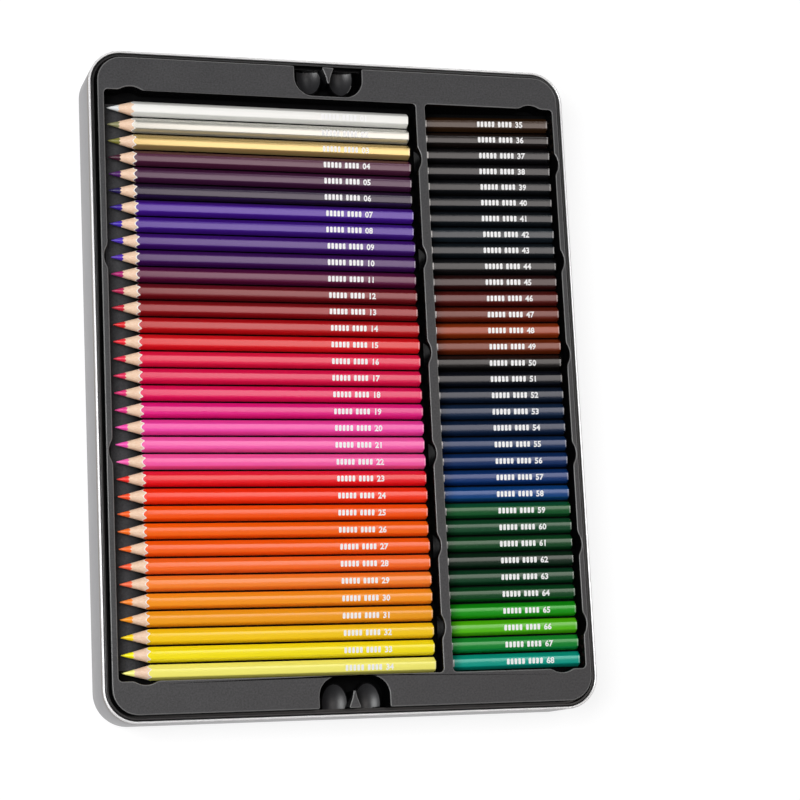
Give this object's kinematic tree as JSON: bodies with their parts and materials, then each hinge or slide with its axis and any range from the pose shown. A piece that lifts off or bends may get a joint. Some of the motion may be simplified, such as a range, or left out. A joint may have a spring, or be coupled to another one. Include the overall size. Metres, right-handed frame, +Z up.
{
  "type": "coloured pencil tin",
  "caption": "Open sheet-metal tin with a lift-out black moulded tray that holds sharpened hexagonal coloured pencils in two beds beside a divider bar.",
  "frame": {"origin": "centre of the tin's footprint, on the surface that it lies on", "axes": "X across the tin, along the pencils, from the points to the butts; Y along the tin's length; Z up out of the open tin"},
  "size_m": [0.254, 0.337, 0.0355],
  "materials": {
    "tinplate": "matt silver sheet metal",
    "tray_plastic": "satin black moulding",
    "metallics_lacquer": "glossy lacquer on a hexagonal wooden casing, bare wood at the point",
    "metallics_pigment": "waxy coloured core",
    "purples_lacquer": "glossy lacquer on a hexagonal wooden casing, bare wood at the point",
    "purples_pigment": "waxy coloured core",
    "maroons_lacquer": "glossy lacquer on a hexagonal wooden casing, bare wood at the point",
    "maroons_pigment": "waxy coloured core",
    "pinks_lacquer": "glossy lacquer on a hexagonal wooden casing, bare wood at the point",
    "pinks_pigment": "waxy coloured core",
    "oranges_lacquer": "glossy lacquer on a hexagonal wooden casing, bare wood at the point",
    "oranges_pigment": "waxy coloured core",
    "yellows_lacquer": "glossy lacquer on a hexagonal wooden casing, bare wood at the point",
    "yellows_pigment": "waxy coloured core",
    "greys_lacquer": "glossy lacquer on a hexagonal wooden casing, bare wood at the point",
    "greys_pigment": "waxy coloured core",
    "browns_lacquer": "glossy lacquer on a hexagonal wooden casing, bare wood at the point",
    "browns_pigment": "waxy coloured core",
    "blues_lacquer": "glossy lacquer on a hexagonal wooden casing, bare wood at the point",
    "blues_pigment": "waxy coloured core",
    "dark_greens_lacquer": "glossy lacquer on a hexagonal wooden casing, bare wood at the point",
    "dark_greens_pigment": "waxy coloured core",
    "bright_greens_lacquer": "glossy lacquer on a hexagonal wooden casing, bare wood at the point",
    "bright_greens_pigment": "waxy coloured core"
  },
  "bodies": {
    "tin": {"tin_base": "tinplate"},
    "tray": {"tray": "tray_plastic"},
    "metallics": {"metallics_casings": "metallics_lacquer", "metallics_cores": "metallics_pigment"},
    "purples": {"purples_casings": "purples_lacquer", "purples_cores": "purples_pigment"},
    "maroons": {"maroons_casings": "maroons_lacquer", "maroons_cores": "maroons_pigment"},
    "pinks": {"pinks_casings": "pinks_lacquer", "pinks_cores": "pinks_pigment"},
    "oranges": {"oranges_casings": "oranges_lacquer", "oranges_cores": "oranges_pigment"},
    "yellows": {"yellows_casings": "yellows_lacquer", "yellows_cores": "yellows_pigment"},
    "greys": {"greys_casings": "greys_lacquer", "greys_cores": "greys_pigment"},
    "browns": {"browns_casings": "browns_lacquer", "browns_cores": "browns_pigment"},
    "blues": {"blues_casings": "blues_lacquer", "blues_cores": "blues_pigment"},
    "dark_greens": {"dark_greens_casings": "dark_greens_lacquer", "dark_greens_cores": "dark_greens_pigment"},
    "bright_greens": {"bright_greens_casings": "bright_greens_lacquer", "bright_greens_cores": "bright_greens_pigment"}
  },
  "joints": [
    {"name": "tray_lift", "type": "slide", "parent": "tin", "child": "tray", "axis": [0, 0, 1], "range_m": [0, 0.04]},
    {"name": "metallics_lift", "type": "slide", "parent": "tray", "child": "metallics", "axis": [0, 0, 1], "range_m": [0, 0.015]},
    {"name": "purples_lift", "type": "slide", "parent": "tray", "child": "purples", "axis": [0, 0, 1], "range_m": [0, 0.015]},
    {"name": "maroons_lift", "type": "slide", "parent": "tray", "child": "maroons", "axis": [0, 0, 1], "range_m": [0, 0.015]},
    {"name": "pinks_lift", "type": "slide", "parent": "tray", "child": "pinks", "axis": [0, 0, 1], "range_m": [0, 0.015]},
    {"name": "oranges_lift", "type": "slide", "parent": "tray", "child": "oranges", "axis": [0, 0, 1], "range_m": [0, 0.015]},
    {"name": "yellows_lift", "type": "slide", "parent": "tray", "child": "yellows", "axis": [0, 0, 1], "range_m": [0, 0.015]},
    {"name": "greys_tip_up", "type": "hinge", "parent": "tray", "child": "greys", "pos_m": [0.05458, 0, 0.01893], "axis": [0, -1, 0], "range_deg": [0, 12]},
    {"name": "browns_tip_up", "type": "hinge", "parent": "tray", "child": "browns", "pos_m": [0.05458, 0, 0.01893], "axis": [0, -1, 0], "range_deg": [0, 12]},
    {"name": "blues_tip_up", "type": "hinge", "parent": "tray", "child": "blues", "pos_m": [0.05458, 0, 0.01893], "axis": [0, -1, 0], "range_deg": [0, 12]},
    {"name": "dark_greens_tip_up", "type": "hinge", "parent": "tray", "child": "dark_greens", "pos_m": [0.05458, 0, 0.01893], "axis": [0, -1, 0], "range_deg": [0, 12]},
    {"name": "bright_greens_tip_up", "type": "hinge", "parent": "tray", "child": "bright_greens", "pos_m": [0.05458, 0, 0.01893], "axis": [0, -1, 0], "range_deg": [0, 12]}
  ]
}
